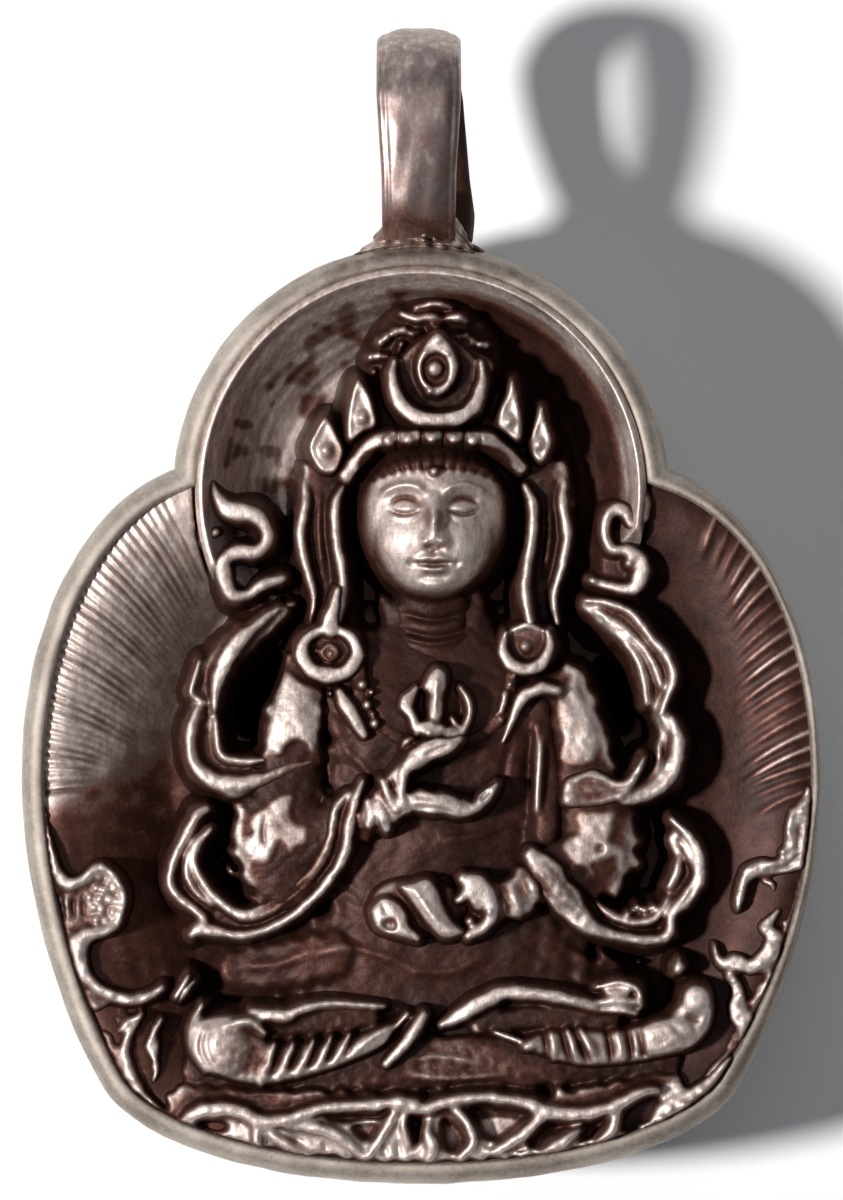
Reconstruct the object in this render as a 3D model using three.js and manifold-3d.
// A silver amulet pendant: a shallow case with a seated, crowned figure in high relief.
// A back plate and a rim wall make the case. A dished shell and a round halo bowl drop onto a ledge
// inside the wall, and the pieces of the relief stand on their flat floor, each in a pocket of what
// is behind it. A band bent into a loop stands on a solder foot at the top, for a chain or a cord.
// Millimetres. X is to the viewer's right, Z is up, and the figure faces -Y.
// The origin is the middle of the hanging loop's hole.
import * as THREE from "three";
import { mergeVertices } from "three/addons/utils/BufferGeometryUtils.js";
import Module from "manifold-3d";

const wasm = await Module();
wasm.setup();

// Room for solder between neighbouring pieces
const GAP = 0.3;

// Outline of the case: a circle for the halo, on a wider body with round shoulders
const HALO_RADIUS = 10.3;
const HALO_Z = -15.4;
const NOTCH_ABOVE_HALO_CENTRE = 1;
const BODY_HALF_WIDTH = 16.6;
const WIDEST_Z = -27.2;
const FOOT_HALF_WIDTH = 13.3;
const FOOT_Z = -39.9;
const BOTTOM_Z = -44.1;
const OUTLINE_STEPS = 6;
const HALO_STEPS = 20;

// Depths from front to back, along +Y
const LIP_Y = -2.4;
const LEDGE_Y = -1.1;
const FLOOR_Y = 1;
const PLATE_FRONT_Y = 2.7;
const PLATE_THICKNESS = 0.8;
const PLATE_EDGE = 0.35;

// Rim wall: a thin lip in front of its ledge, with a rounded outer shoulder
const WALL_THICKNESS = 1.4;
const LIP_THICKNESS = 0.6;
const WALL_ROUNDING = 0.9;
const WALL_LEAN = 0.25;

// Dished shell, from its flange on the ledge down to its flat floor
const SHELL_THICKNESS = 0.6;
const FLANGE_WIDTH = 0.9;
const FLOOR_SHARE = 0.62;
const DISH_CENTRE_Z = -27.5;
const SLOT_HALF_WIDTH = 0.55;
const SLOTS = [
  { x: -6.5, z: -23.8, halfLength: 1.9, leanDegrees: -25 },
  { x: 8.0, z: -23.8, halfLength: 1.7, leanDegrees: 21 },
];

// Halo bowl, whose rim stands above the lip and ends in two free tips below the shoulders
const CREST_INSET = 0.25;
const CREST_ABOVE_LIP = 0.2;
const BOWL_FLOOR_RADIUS = 5.6;
const BOWL_FOOT_BELOW_CENTRE = 4.5;

// Hanging loop and its solder foot
const LOOP_WIDTH = 3.5;
const LOOP_THICKNESS = 0.9;
const LOOP_HOLE_DEPTH = 5;
const LOOP_TOP_Z = 3.8;
const LOOP_TWIST_DEGREES = -6;
const SOLDER_WIDTH = 5.3;
const SOLDER_DEPTH = 5.4;
const SOLDER_HEIGHT = 0.7;

// The figure sits a little to the right of the case's middle
const FIGURE_X = 0.6;
const HEAD_BELOW_HALO_CENTRE = 1;
const CHEST_BELOW_HEAD = 9;
const SEAT_ABOVE_BOTTOM = 7.1;
const HEAD_HALF_WIDTH = 3.4;
const FACE_HEIGHT = 5.8;
const CROWN_HEIGHT = 5.2;
const CHEST_HEIGHT = 3.7;
const HAND_HEIGHT = 5.6;
const KNEE_HEIGHT = 4.9;
const SCARF_HEIGHT = 3.8;
const SCARF_HALF_WIDTH = 0.7;
const SCROLL_HEIGHT = 3.7;
const SCROLL_HALF_WIDTH = 0.5;
const EARRING_RADIUS = 1.15;
const PETALS = 9;
const PETAL_PITCH = 2.3;

// Finishes
const BRIGHT_SILVER = { color: 0xc9c1b4, roughness: 0.34, metalness: 1 };
const WORN_SILVER = { color: 0xa8968e, roughness: 0.36, metalness: 1 };
const DARK_SILVER = { color: 0x5a443f, roughness: 0.42, metalness: 0.9 };
const SOLDER = { color: 0x8c7a70, roughness: 0.55, metalness: 0.9 };

// Sizes that follow from the ones above
const PLATE_BACK_Y = PLATE_FRONT_Y + PLATE_THICKNESS;
const FLANGE_Y = LEDGE_Y - SHELL_THICKNESS;
const FLANGE_INSET = LIP_THICKNESS + GAP;
const BOWL_RADIUS = HALO_RADIUS - FLANGE_INSET;
const BOWL_FOOT_Z = HALO_Z - BOWL_FOOT_BELOW_CENTRE;
const CREST_RADIUS = BOWL_RADIUS - CREST_INSET;
const CREST_Y = LIP_Y - CREST_ABOVE_LIP;
const SOLDER_RADIUS = HALO_RADIUS + GAP;
const LOOP_FOOT_Z = HALO_Z + SOLDER_RADIUS + SOLDER_HEIGHT;
const HEAD = { x: FIGURE_X, z: HALO_Z - HEAD_BELOW_HALO_CENTRE };
const CHEST = { x: FIGURE_X, z: HEAD.z - CHEST_BELOW_HEAD };
const SEAT = { x: FIGURE_X + 0.4, z: BOTTOM_Z + SEAT_ABOVE_BOTTOM };
const BEYOND = 12;

// Closed surface through rings of equal length, with a fan at each end or as a hoop
function loft(rings, isHoop = false) {
  const sides = rings[0].length;
  const points = rings.flat();
  const index = [];
  const spans = isHoop ? rings.length : rings.length - 1;
  for (let r = 0; r < spans; r++) {
    const near = r * sides;
    const far = ((r + 1) % rings.length) * sides;
    for (let s = 0; s < sides; s++) {
      const t = (s + 1) % sides;
      index.push(near + s, near + t, far + t, near + s, far + t, far + s);
    }
  }
  const close = (first, ring, turn) => {
    const middle = new THREE.Vector3();
    ring.forEach((p) => middle.addScaledVector(p, 1 / sides));
    points.push(middle);
    for (let s = 0; s < sides; s++) {
      index.push(points.length - 1, first + ((s + turn) % sides), first + ((s + 1 - turn) % sides));
    }
  };
  if (!isHoop) {
    close(0, rings[0], 1);
    close((rings.length - 1) * sides, rings.at(-1), 0);
  }
  return new THREE.BufferGeometry().setFromPoints(points).setIndex(index);
}

// Six times the volume inside a closed surface, negative when its faces point inwards
function signedVolume(vertices, triangles) {
  const corner = (i) => new THREE.Vector3().fromArray(vertices, 3 * triangles[i]);
  let sum = 0;
  for (let i = 0; i < triangles.length; i += 3) {
    sum += corner(i).dot(corner(i + 1).cross(corner(i + 2)));
  }
  return sum;
}

function toSolid(geometry) {
  const bare = geometry.clone();
  bare.deleteAttribute("normal");
  bare.deleteAttribute("uv");
  const merged = mergeVertices(bare, 1e-4);
  const vertProperties = new Float32Array(merged.attributes.position.array);
  const triVerts = new Uint32Array(merged.index.array);
  if (signedVolume(vertProperties, triVerts) < 0) {
    triVerts.reverse();
  }
  return new wasm.Manifold(new wasm.Mesh({ numProp: 3, vertProperties, triVerts }));
}

function toMesh(name, solid, finish) {
  const { numVert, numProp, vertProperties, triVerts } = solid.getMesh();
  const points = new Float32Array(3 * numVert);
  for (let v = 0; v < numVert; v++) {
    points.set(vertProperties.subarray(v * numProp, v * numProp + 3), 3 * v);
  }
  const geometry = new THREE.BufferGeometry();
  geometry.setAttribute("position", new THREE.BufferAttribute(points, 3));
  geometry.setIndex(new THREE.BufferAttribute(new Uint32Array(triVerts), 1));
  geometry.computeVertexNormals();
  const mesh = new THREE.Mesh(geometry, new THREE.MeshStandardMaterial(finish));
  mesh.name = name;
  return mesh;
}

const join = (solids) => solids.reduce((all, one) => all.add(one));

// The main body of a cut solid, without the crumbs that a cut leaves beside it
const largest = (solid) =>
  solid.decompose().reduce((most, one) => (one.volume() > most.volume() ? one : most));

// Everything below a height
function below(z) {
  return toSolid(new THREE.BoxGeometry(60, 60, 60).translate(0, 0, z - 30));
}

// A value at a share of the way through a list of evenly spaced ones
function spread(values, share) {
  const place = share * (values.length - 1);
  const before = Math.min(Math.floor(place), values.length - 2);
  return THREE.MathUtils.lerp(values[before], values[before + 1], place - before);
}

// A flat piece of a given outline in X and Z, from its back face at `backY` towards the front
function plate(shape, backY, thickness, grow = 0, curveSegments = 4) {
  const geometry = new THREE.ExtrudeGeometry(shape, {
    depth: thickness,
    curveSegments,
    bevelEnabled: grow > 0,
    bevelThickness: grow,
    bevelSize: grow,
    bevelSegments: 1,
  });
  return toSolid(geometry.rotateX(Math.PI / 2).translate(0, backY, 0));
}

// A round piece turned about a line along Y, from a profile of [radius, y] points
function turned(x, z, profile, segments = 36) {
  const points = profile.map(([radius, y]) => new THREE.Vector2(radius, y));
  return toSolid(new THREE.LatheGeometry(points, segments).translate(x, 0, z));
}

function ball({ x, z }, height, [rx, ry, rz], grow = 0, around = 16) {
  const geometry = new THREE.SphereGeometry(1, around, Math.round(0.6 * around));
  geometry.scale(rx + grow, ry + grow, rz + grow);
  return toSolid(geometry.translate(x, FLOOR_Y - height, z));
}

// Points given from a place on the figure, as [across, up, height above the floor]
const from = (place, line) => line.map(([x, z, height]) => [place.x + x, place.z + z, height]);

// Points that lie out towards the rim and move with it, given as [share of the way there, up, height]
const towardsRim = (place, side, line) =>
  line.map(([share, up, height]) => {
    const z = place.z + up;
    return [THREE.MathUtils.lerp(place.x, side * halfWidthAt(z), share), z, height];
  });

// A rounded rib along a line of [x, z, height] points. Its sides are upright, its top and its ends
// are round, and it goes through the floor unless `root` lifts its foot.
function rib(line, halfWidths, grow = 0, { root = -1, arch = 5, steps = 3 * (line.length - 1) } = {}) {
  const route = line.map(([x, z, height]) => new THREE.Vector3(x, FLOOR_Y - height, z));
  const curve = new THREE.CatmullRomCurve3(route);
  const foot = FLOOR_Y - root + grow;
  const ring = (t, past, share) => {
    const run = curve.getTangent(t).setY(0).normalize();
    const across = new THREE.Vector3(-run.z, 0, run.x);
    const top = curve.getPoint(t).addScaledVector(run, past);
    const front = top.y - grow;
    const wide = spread(halfWidths, t) + grow;
    const dome = Math.min(0.8 * wide, 0.6 * (foot - front));
    const at = (side, y) => top.clone().setY(y).addScaledVector(across, side * wide * share);
    const round = Array.from({ length: arch }, (_, k) => {
      const angle = Math.PI * (1 - k / (arch - 1));
      return at(Math.cos(angle), front + dome * (1 - share * Math.sin(angle)));
    });
    return [at(-1, foot), ...round, at(1, foot)];
  };
  const reach = (t) => Math.min(spread(halfWidths, t), 0.9) + grow;
  const body = Array.from({ length: steps + 1 }, (_, i) => ring(i / steps, 0, 1));
  return toSolid(
    loft([
      ring(0, -reach(0), 0.25),
      ring(0, -0.7 * reach(0), 0.7),
      ...body,
      ring(1, 0.7 * reach(1), 0.7),
      ring(1, reach(1), 0.25),
    ]),
  );
}

// A leaf that stands on a round foot and comes to a point, upwards or, with a negative height, downwards
function leafShape({ x, z }, halfWidth, height) {
  const shape = new THREE.Shape();
  const side = halfWidth * 1.3;
  shape.moveTo(x, z);
  shape.bezierCurveTo(x + side, z, x + side, z + 0.55 * height, x, z + height);
  shape.bezierCurveTo(x - side, z + 0.55 * height, x - side, z, x, z);
  return shape;
}

// Half the outline, from its lowest point up to the notch under the halo
function bodySide() {
  const notch = new THREE.Vector2(
    Math.sqrt(HALO_RADIUS ** 2 - NOTCH_ABOVE_HALO_CENTRE ** 2),
    HALO_Z + NOTCH_ABOVE_HALO_CENTRE,
  );
  const widest = new THREE.Vector2(BODY_HALF_WIDTH, WIDEST_Z);
  const foot = new THREE.Vector2(FOOT_HALF_WIDTH, FOOT_Z);
  const bottom = new THREE.Vector2(0, BOTTOM_Z);
  const between = (a, b, shareX, shareZ) =>
    new THREE.Vector2(THREE.MathUtils.lerp(a.x, b.x, shareX), THREE.MathUtils.lerp(a.y, b.y, shareZ));
  const curve = (a, towardsB, towardsA, b) =>
    new THREE.CubicBezierCurve(a, between(a, b, ...towardsB), between(b, a, ...towardsA), b);
  const curves = [
    curve(bottom, [0.45, 0], [0.11, 0.64], foot),
    curve(foot, [0.58, 0.26], [0, 0.34], widest),
    curve(widest, [0, 0.48], [0.62, 0.12], notch),
  ];
  return curves.flatMap((part) => part.getPoints(OUTLINE_STEPS).slice(0, -1));
}

function caseOutline() {
  const side = bodySide();
  const start = Math.asin(NOTCH_ABOVE_HALO_CENTRE / HALO_RADIUS);
  const halo = Array.from({ length: HALO_STEPS + 1 }, (_, i) => {
    const angle = start + ((Math.PI - 2 * start) * i) / HALO_STEPS;
    return new THREE.Vector2(HALO_RADIUS * Math.cos(angle), HALO_Z + HALO_RADIUS * Math.sin(angle));
  });
  const otherSide = side.slice(1).reverse().map((p) => new THREE.Vector2(-p.x, p.y));
  return [...side, ...halo, ...otherSide];
}

const OUTLINE = caseOutline();

// The outline moved inwards, at a depth
function outlineRing(inset, y) {
  return OUTLINE.map((p, i) => {
    const into = p.clone().sub(OUTLINE.at(i - 1)).normalize();
    const out = OUTLINE[(i + 1) % OUTLINE.length].clone().sub(p).normalize();
    const way = into.clone().add(out).normalize();
    const mitre = inset / Math.max(way.dot(out), 0.5);
    return new THREE.Vector3(p.x - way.y * mitre, y, p.y + way.x * mitre);
  });
}

// Half the case's width at a height, so that what lies along the rim follows it
function halfWidthAt(z) {
  const above = OUTLINE.findIndex((p, i) => i > 0 && p.y >= z);
  const [a, b] = [OUTLINE[above - 1], OUTLINE[above]];
  return THREE.MathUtils.lerp(a.x, b.x, (z - a.y) / (b.y - a.y));
}

function backPlate() {
  return toSolid(
    loft([
      outlineRing(PLATE_EDGE, PLATE_BACK_Y),
      outlineRing(0, PLATE_BACK_Y - PLATE_EDGE),
      outlineRing(0, PLATE_FRONT_Y),
    ]),
  );
}

function rimWall() {
  const rings = [
    outlineRing(0, PLATE_FRONT_Y),
    outlineRing(WALL_LEAN, LIP_Y + WALL_ROUNDING),
    outlineRing(WALL_LEAN + 0.1, LIP_Y + 0.4 * WALL_ROUNDING),
    outlineRing((WALL_LEAN + LIP_THICKNESS) / 2, LIP_Y),
    outlineRing(LIP_THICKNESS, LIP_Y + 0.1),
    outlineRing(LIP_THICKNESS, LEDGE_Y),
    outlineRing(WALL_THICKNESS, LEDGE_Y),
    outlineRing(WALL_THICKNESS, PLATE_FRONT_Y),
  ];
  return toSolid(loft(rings, true));
}

// The dish's surface as rings, from its outer edge over the flange and down the slope to the floor
function dishRings(flangeY, floorY, edgeInset, brinkInset) {
  const slope = [
    { share: 0.3, fall: 0.14 },
    { share: 0.58, fall: 0.42 },
    { share: 0.82, fall: 0.82 },
    { share: 1, fall: 1 },
  ];
  const brink = outlineRing(brinkInset, flangeY);
  const middle = new THREE.Vector3(0, floorY, DISH_CENTRE_Z);
  const floor = outlineRing(0, floorY).map((p) => middle.clone().lerp(p, FLOOR_SHARE));
  const down = slope.map(({ share, fall }) =>
    brink.map((p, i) => p.clone().lerp(floor[i], share).setY(THREE.MathUtils.lerp(flangeY, floorY, fall))),
  );
  return [outlineRing(edgeInset, flangeY), brink, ...down];
}

// The room that the halo bowl takes in the shell
function bowlRoom() {
  const disc = new THREE.CylinderGeometry(BOWL_RADIUS + GAP, BOWL_RADIUS + GAP, 2 * BEYOND, 36);
  return toSolid(disc.translate(0, 0, HALO_Z)).subtract(below(BOWL_FOOT_Z - GAP));
}

function slotShape({ x, z, halfLength, leanDegrees }) {
  const lean = THREE.MathUtils.degToRad(leanDegrees);
  const way = new THREE.Vector2(Math.sin(lean), Math.cos(lean)).multiplyScalar(halfLength - SLOT_HALF_WIDTH);
  const shape = new THREE.Shape();
  shape.absarc(x + way.x, z + way.y, SLOT_HALF_WIDTH, -lean, Math.PI - lean);
  shape.absarc(x - way.x, z - way.y, SLOT_HALF_WIDTH, Math.PI - lean, 2 * Math.PI - lean);
  return shape;
}

function aureoleShell() {
  const brinkInset = FLANGE_INSET + FLANGE_WIDTH;
  const front = dishRings(FLANGE_Y, FLOOR_Y, FLANGE_INSET, brinkInset);
  const back = dishRings(LEDGE_Y, FLOOR_Y + SHELL_THICKNESS, FLANGE_INSET, brinkInset);
  const slots = SLOTS.map((slot) => plate(slotShape(slot), FLOOR_Y + BEYOND, 2 * BEYOND));
  return toSolid(loft([...front.toReversed(), ...back])).subtract(join([bowlRoom(), ...slots]));
}

// The bowl's hollow front from its middle to its rim, as [radius, y], with room in front of its slope
function bowlFront(room = 0) {
  const slope = CREST_RADIUS - BOWL_FLOOR_RADIUS;
  return [
    [0, FLOOR_Y],
    [BOWL_FLOOR_RADIUS - room, FLOOR_Y],
    [BOWL_FLOOR_RADIUS + 0.45 * slope - room, THREE.MathUtils.lerp(FLOOR_Y, CREST_Y, 0.28)],
    [BOWL_FLOOR_RADIUS + 0.8 * slope - room, THREE.MathUtils.lerp(FLOOR_Y, CREST_Y, 0.65)],
    [CREST_RADIUS - room, CREST_Y - room],
  ];
}

function haloBowl() {
  const profile = [
    ...bowlFront(),
    [BOWL_RADIUS - 0.1, CREST_Y + 0.15],
    [BOWL_RADIUS, CREST_Y + 0.5],
    [BOWL_RADIUS, LEDGE_Y],
    [BOWL_RADIUS - SHELL_THICKNESS, LEDGE_Y],
    [BOWL_FLOOR_RADIUS + 0.5 * SHELL_THICKNESS, FLOOR_Y + SHELL_THICKNESS],
    [0, FLOOR_Y + SHELL_THICKNESS],
  ];
  return turned(0, HALO_Z, profile).subtract(below(BOWL_FOOT_Z));
}

// A band bent over in the YZ plane: flat inside, domed outside, and cut level at its two feet
function bailLoop() {
  const reach = (LOOP_HOLE_DEPTH + LOOP_THICKNESS) / 2;
  const top = LOOP_TOP_Z - LOOP_THICKNESS / 2;
  const side = [
    [0.7 * reach, LOOP_FOOT_Z - 0.4],
    [0.96 * reach, LOOP_FOOT_Z + 1.2],
    [reach, LOOP_FOOT_Z + 3.2],
    [0.965 * reach, 0.36 * top],
    [0.64 * reach, 0.8 * top],
  ];
  const front = side.map(([y, z]) => new THREE.Vector3(0, -y, z));
  const back = side.toReversed().map(([y, z]) => new THREE.Vector3(0, y, z));
  const curve = new THREE.CatmullRomCurve3([...front, new THREE.Vector3(0, 0, top), ...back]);
  const taper = [0.84, 0.84, 1, 1, 1, 1, 1, 0.84, 0.84];
  const section = [
    [-0.5, -0.92],
    [-0.5, 0.92],
    [-0.1, 1],
    [0.25, 0.86],
    [0.5, 0.42],
    [0.5, -0.42],
    [0.25, -0.86],
    [-0.1, -1],
  ];
  const rings = Array.from({ length: 25 }, (_, i) => {
    const run = curve.getTangent(i / 24);
    const outwards = new THREE.Vector3(0, -run.z, run.y);
    return section.map(([out, across]) =>
      curve
        .getPoint(i / 24)
        .addScaledVector(outwards, out * LOOP_THICKNESS)
        .setX((across * spread(taper, i / 24) * LOOP_WIDTH) / 2),
    );
  });
  const twist = THREE.MathUtils.degToRad(LOOP_TWIST_DEGREES);
  return toSolid(loft(rings).rotateZ(twist)).subtract(below(LOOP_FOOT_Z));
}

// A low mound between the wall's top and the loop's feet
function solderFoot() {
  const half = SOLDER_WIDTH / 2;
  const lean = Math.asin(half / SOLDER_RADIUS);
  const shape = new THREE.Shape();
  shape.absarc(0, HALO_Z, SOLDER_RADIUS, Math.PI / 2 + lean, Math.PI / 2 - lean, true);
  shape.lineTo(0.8 * half, LOOP_FOOT_Z);
  shape.lineTo(-0.8 * half, LOOP_FOOT_Z);
  return plate(shape, SOLDER_DEPTH / 2, SOLDER_DEPTH, 0, 8);
}

// What the relief can't reach into: the case outside the dish, all that is behind the floor, and a
// gap's room in front of the slopes
function reliefBed() {
  const dish = dishRings(FLANGE_Y - GAP, FLOOR_Y, -1, FLANGE_INSET + FLANGE_WIDTH + GAP);
  const behind = toSolid(loft([...dish.toReversed(), outlineRing(-1, BEYOND)]));
  const bowl = turned(0, HALO_Z, [
    ...bowlFront(GAP),
    [BOWL_RADIUS + GAP, CREST_Y - GAP],
    [BOWL_RADIUS + GAP, BEYOND],
    [0, BEYOND],
  ]).subtract(below(BOWL_FOOT_Z - GAP));
  const around = toSolid(new THREE.BoxGeometry(60, 2 * BEYOND, 80).translate(0, 0, DISH_CENTRE_Z));
  const inside = toSolid(loft([-2, 2].map((side) => outlineRing(FLANGE_INSET, side * BEYOND))));
  return join([behind.subtract(bowlRoom()), bowl, around.subtract(inside)]);
}

function head(grow) {
  const z = HEAD_HALF_WIDTH + 0.1;
  const deep = FACE_HEIGHT - 2.1;
  return join([
    ball(HEAD, 2.1, [HEAD_HALF_WIDTH, deep, z], grow),
    rib(from(HEAD, [[0, -2.4, 3.2], [0, -5.4, 3.2]]), [1.9, 2.1], grow),
    rib(from(HEAD, [[0, 0.4, FACE_HEIGHT], [0, -0.9, FACE_HEIGHT + 0.4]]), [0.35, 0.5], grow, { root: 3 }),
  ]);
}

function hairKnot(grow) {
  return join([
    ball({ x: HEAD.x, z: HEAD.z + 5.4 }, 0.6, [3.2, 2.7, 3.4], grow),
    ball({ x: HEAD.x, z: HEAD.z + 2 }, 0.4, [4.9, 2.6, 3.6], grow),
  ]);
}

function crownBand(grow) {
  const line = [[-3.7, 1.8, 3.6], [-2.3, 3, 4.6], [0, 3.4, CROWN_HEIGHT], [2.3, 3, 4.6], [3.7, 1.8, 3.6]];
  return rib(from(HEAD, line), [0.5, 0.5], grow, { root: 2.4, steps: 10 });
}

function crownLeaf(x, z, halfWidth, height, front, grow) {
  const back = 2.2;
  const shape = leafShape({ x: HEAD.x + x, z: HEAD.z + z }, halfWidth, height);
  return plate(shape, FLOOR_Y - back, front - back, grow);
}

function centreLeaf(grow) {
  const jewel = ball({ x: HEAD.x, z: HEAD.z + 6 }, CROWN_HEIGHT - 0.9, [0.8, 0.9, 1.2], grow, 12);
  return crownLeaf(0, 3.8, 2.1, 4.4, CROWN_HEIGHT - 0.6, grow).add(jewel);
}

function earring(side, grow) {
  const [back, front] = [FLOOR_Y - 1.4 + grow, FLOOR_Y - 4.1 - grow];
  const radius = EARRING_RADIUS + grow;
  const profile = [[0, back], [radius, back], [radius, front + 0.4], [0.75 * radius, front], [0, front]];
  return turned(HEAD.x + side * 4.05, HEAD.z - 5.65, profile, 16);
}

function hairRibbon(side, grow) {
  const mirrored = (line) => from(HEAD, line.map(([x, z, height]) => [side * x, z, height]));
  return join([
    rib(mirrored([[4.1, 1, 3.2], [4.2, -1.3, 3.3], [4, -3.1, 3.4], [4.2, -4.8, 3.4]]), [0.45, 0.45], grow),
    rib(mirrored([[5.3, 1, 2.8], [5.4, -1.3, 2.9], [4.9, -3.2, 3]]), [0.45, 0.4], grow),
    rib(mirrored([[4.7, 1, 2.2], [4.8, -1.3, 2.2], [4.5, -3.2, 2.2]]), [0.8, 0.8], grow),
  ]);
}

function necklace(grow) {
  const line = [[-3.2, 2.4, 4], [-2.6, 0.6, 4.2], [0, -0.6, 4.3], [2.6, 0.4, 4.2], [3.2, 2.2, 4]];
  return rib(from(CHEST, line), [0.4, 0.4], grow, { root: 2.2 });
}

function torso(grow) {
  const line = [
    [0, 3.7, 2.8],
    [0, 2.2, 3.4],
    [0, -0.5, CHEST_HEIGHT],
    [-0.2, -4, 3.5],
    [-0.2, -6.5, 3.3],
    [0.2, -8.6, 3.2],
    [0.4, -10, 3],
  ];
  return rib(from(CHEST, line), [2.6, 5, 4.7, 3.5, 3.8, 5.6, 7.2], grow, { arch: 9, steps: 14 });
}

function raisedArm(grow) {
  const elbow = [-6.6, -4, 4.4];
  const wrist = [-1.9, -3, 5.1];
  const palm = [-0.3, -1.9, HAND_HEIGHT];
  return join([
    rib(from(CHEST, [[-5.2, 2.4, 3.9], [-5.9, -0.8, 4.2], elbow]), [1.3, 1.3, 1.5], grow, { root: 0 }),
    rib(from(CHEST, [elbow, [-4.5, -4.2, 4.7], wrist]), [1.4, 1.2, 0.9], grow, { root: 2.4 }),
    rib(from(CHEST, [wrist, palm]), [0.9, 1.1], grow, { root: 3 }),
    rib(from(CHEST, [palm, [0.8, -2.7, 5.5], [2.3, -2.6, 5.3]]), [0.8, 0.6, 0.45], grow, { root: 3.4 }),
    rib(from(CHEST, [palm, [0.8, -0.9, HAND_HEIGHT], [0.9, 0, 5.4]]), [0.7, 0.45], grow, { root: 3.4 }),
  ]);
}

function vajra(grow) {
  const prong = (side) => from(CHEST, [[0, 2.6, 5], [side * 1.25, 1.3, 4.9], [0.2 * side, -0.2, 5]]);
  return join([
    rib(from(CHEST, [[0, 2.7, 5.1], [-0.1, -0.4, 5.1]]), [0.45, 0.45], grow, { root: 3 }),
    rib(prong(-1), [0.35, 0.35], grow, { root: 3 }),
    rib(prong(1), [0.35, 0.35], grow, { root: 3 }),
  ]);
}

function loweredArm(grow) {
  const elbow = [6.6, -4.2, 4.4];
  const wrist = [3.5, -6.6, 5];
  return join([
    rib(from(CHEST, [[5.4, 2.4, 3.9], [6.2, -0.7, 4.2], elbow]), [1.3, 1.3, 1.5], grow, { root: 0 }),
    rib(from(CHEST, [elbow, wrist]), [1.4, 1], grow, { root: 2.4 }),
    rib(from(CHEST, [wrist, [1.6, -7, 5.4]]), [1, 1.35], grow, { root: 2.6 }),
  ]);
}

function bell(grow) {
  const line = [[-2.2, -7, 5], [-0.8, -7, 5.2], [1.2, -7, 5.2]];
  return rib(from(CHEST, line), [1.4, 1, 0.9], grow, { root: 2.6 });
}

// A folded leg, whose knee lies a share of the way to the rim
function leg(side, knee, grow) {
  const line = [[knee, -0.6, 4.4], [0.6 * knee, -0.4, KNEE_HEIGHT], [0.15 * knee, 0.2, 4.5]];
  return rib(towardsRim(SEAT, side, line), [1.5, 1.7, 1.3], grow, { arch: 7, steps: 8 });
}

// The scarves' routes, as [share of the way from the chest's middle to the rim, height over the chest]
const SCARVES = {
  upper_scarf_left: {
    side: -1,
    route: [[0.4, 5.2], [0.5, 4.4], [0.57, 3], [0.59, 1.2], [0.59, -0.7], [0.54, -1.9], [0.42, -2.2]],
  },
  upper_scarf_right: {
    side: 1,
    route: [[0.43, 5.3], [0.54, 4.6], [0.61, 3.2], [0.63, 1.6], [0.63, -0.6], [0.59, -1.9], [0.48, -2.6]],
  },
  lower_scarf_left: {
    side: -1,
    route: [[0.23, -5.4], [0.32, -6.8], [0.47, -8.1], [0.59, -8], [0.66, -6.9], [0.63, -5], [0.57, -3.9]],
  },
  lower_scarf_right: {
    side: 1,
    route: [[0.31, -6.4], [0.45, -8], [0.59, -8.5], [0.69, -7.5], [0.72, -5.9], [0.7, -4.6], [0.66, -4]],
  },
};

function scarf({ side, route }, grow) {
  const line = route.map(([share, up]) => [share, up, SCARF_HEIGHT]);
  return rib(towardsRim(CHEST, side, line), [SCARF_HALF_WIDTH, SCARF_HALF_WIDTH], grow);
}

// A lotus seat: a wavy rail over a row of petals, under a folded mat
function lotusBase(grow) {
  const rail = [[-11, -4, 4.2], [-6, -3.5, 4.5], [-0.2, -3.4, 4.6], [5.4, -3.2, 4.5], [10, -3.2, 4.2]];
  const mat = [[-9.6, -2.5, 3.7], [0, -2.3, 4], [9, -2.2, 3.7]];
  const petals = Array.from({ length: PETALS }, (_, i) => {
    const x = SEAT.x + (i - (PETALS - 1) / 2) * PETAL_PITCH;
    return plate(leafShape({ x, z: SEAT.z - 3.5 }, 1.1, -2.5), FLOOR_Y, 4.1, grow);
  });
  return join([rib(from(SEAT, rail), [0.6, 0.6], grow), rib(from(SEAT, mat), [0.8, 0.8], grow), ...petals]);
}

// A wave between the hair and the halo's crest, as [distance from the middle, depth below the halo's centre]
function haloScroll(side, grow) {
  const line = [[8, 0.2], [7.3, 0.9], [6.5, 0.8], [6, 1.6], [6.4, 2.5], [7.3, 2.4], [7.7, 3.3], [6.6, 3.9]];
  const route = line.map(([x, down]) => [side * x, HALO_Z - down, SCROLL_HEIGHT]);
  return rib(route, [0.45, SCROLL_HALF_WIDTH], grow, { steps: 16 });
}

// A curl and a leaf by each side of the rim, as [distance in from the outline, height over the seat]
const SIDE_SCROLLS = {
  side_scroll_left: {
    side: -1,
    curl: [
      [1.4, 8], [1.5, 6], [2.6, 5.6], [3.6, 5.9], [4.1, 4.8], [3.2, 3.6], [2.1, 2.9], [2, 1.5], [3.1, 0.6],
    ],
    leaf: [[3, 0.8], [2.2, -1], [1.8, -3], [1.9, -4.5]],
  },
  side_scroll_right: {
    side: 1,
    curl: [
      [1.4, 8.6], [1.4, 7], [2.2, 6.2], [3, 5.4], [3, 4.3], [2.2, 3.4], [1.5, 2.3], [1.5, 1.2], [2.1, 0.3],
    ],
    leaf: [[2, 0.5], [1.8, -1], [1.6, -3], [1.7, -4.4]],
  },
};

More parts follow.
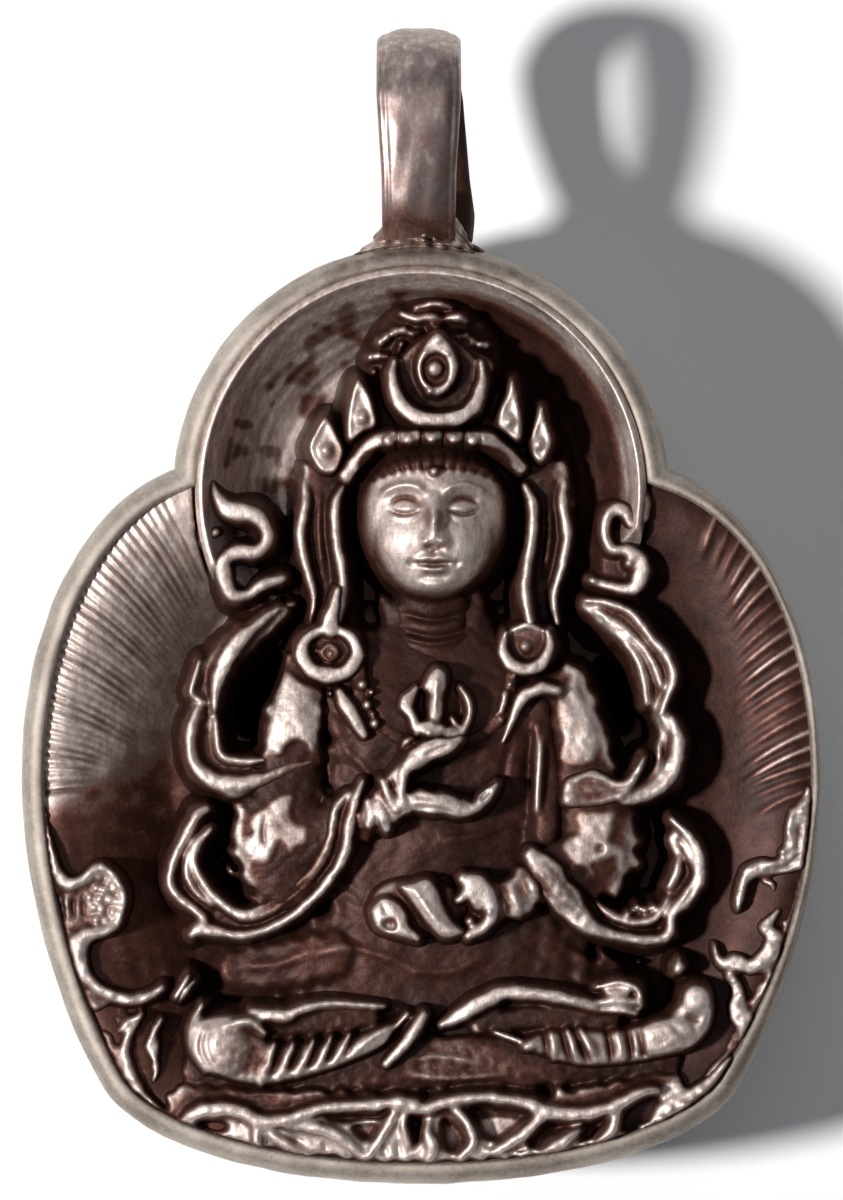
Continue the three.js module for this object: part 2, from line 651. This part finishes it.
function sideScroll({ side, curl, leaf }, grow) {
  const follow = (line) =>
    line.map(([inset, up]) => {
      const z = SEAT.z + up;
      return [side * (halfWidthAt(z) - inset), z, SCROLL_HEIGHT];
    });
  return join([
    rib(follow(curl), [SCROLL_HALF_WIDTH, SCROLL_HALF_WIDTH], grow, { steps: 20 }),
    rib(follow(leaf), [SCROLL_HALF_WIDTH, 0.8, 0.5], grow),
  ]);
}

// The relief from front to back: each piece is cut clear of the ones before it
const RELIEF = [
  ["raised_arm", raisedArm],
  ["vajra", vajra],
  ["lowered_arm", loweredArm],
  ["bell", bell],
  ["leg_right", (grow) => leg(1, 0.7, grow)],
  ["leg_left", (grow) => leg(-1, 0.61, grow)],
  ["crown_leaf_centre", centreLeaf],
  ["crown_band", crownBand],
  ["crown_leaf_inner_left", (grow) => crownLeaf(-3, 3.3, 0.65, 2.6, 4.2, grow)],
  ["crown_leaf_inner_right", (grow) => crownLeaf(3, 3.3, 0.65, 2.6, 4.2, grow)],
  ["crown_leaf_outer_left", (grow) => crownLeaf(-4.5, 1.9, 0.75, 2.5, 3.7, grow)],
  ["crown_leaf_outer_right", (grow) => crownLeaf(4.5, 1.9, 0.75, 2.5, 3.7, grow)],
  ["earring_left", (grow) => earring(-1, grow)],
  ["earring_right", (grow) => earring(1, grow)],
  ["head", head],
  ["hair_ribbon_left", (grow) => hairRibbon(-1, grow)],
  ["hair_ribbon_right", (grow) => hairRibbon(1, grow)],
  ["hair_knot", hairKnot],
  ["necklace", necklace],
  ...Object.entries(SCARVES).map(([name, route]) => [name, (grow) => scarf(route, grow)]),
  ["torso", torso],
  ["lotus_base", lotusBase],
  ["halo_scroll_left", (grow) => haloScroll(-1, grow)],
  ["halo_scroll_right", (grow) => haloScroll(1, grow)],
  ...Object.entries(SIDE_SCROLLS).map(([name, scroll]) => [name, (grow) => sideScroll(scroll, grow)]),
];

function reliefMeshes() {
  let taken = reliefBed();
  return RELIEF.map(([name, build]) => {
    const piece = largest(build(0).subtract(taken));
    taken = taken.add(build(GAP));
    return toMesh(name, piece, WORN_SILVER);
  });
}

const housing = new THREE.Group();
housing.add(
  toMesh("back_plate", backPlate(), BRIGHT_SILVER),
  toMesh("rim_wall", rimWall(), BRIGHT_SILVER),
  toMesh("aureole_shell", aureoleShell(), DARK_SILVER),
  toMesh("halo_bowl", haloBowl(), DARK_SILVER),
);

const hanger = new THREE.Group();
hanger.add(toMesh("bail_loop", bailLoop(), WORN_SILVER), toMesh("solder_foot", solderFoot(), SOLDER));

const relief = new THREE.Group();
relief.add(...reliefMeshes());

const pendant = new THREE.Group();
pendant.add(housing, hanger, relief);

export default pendant;
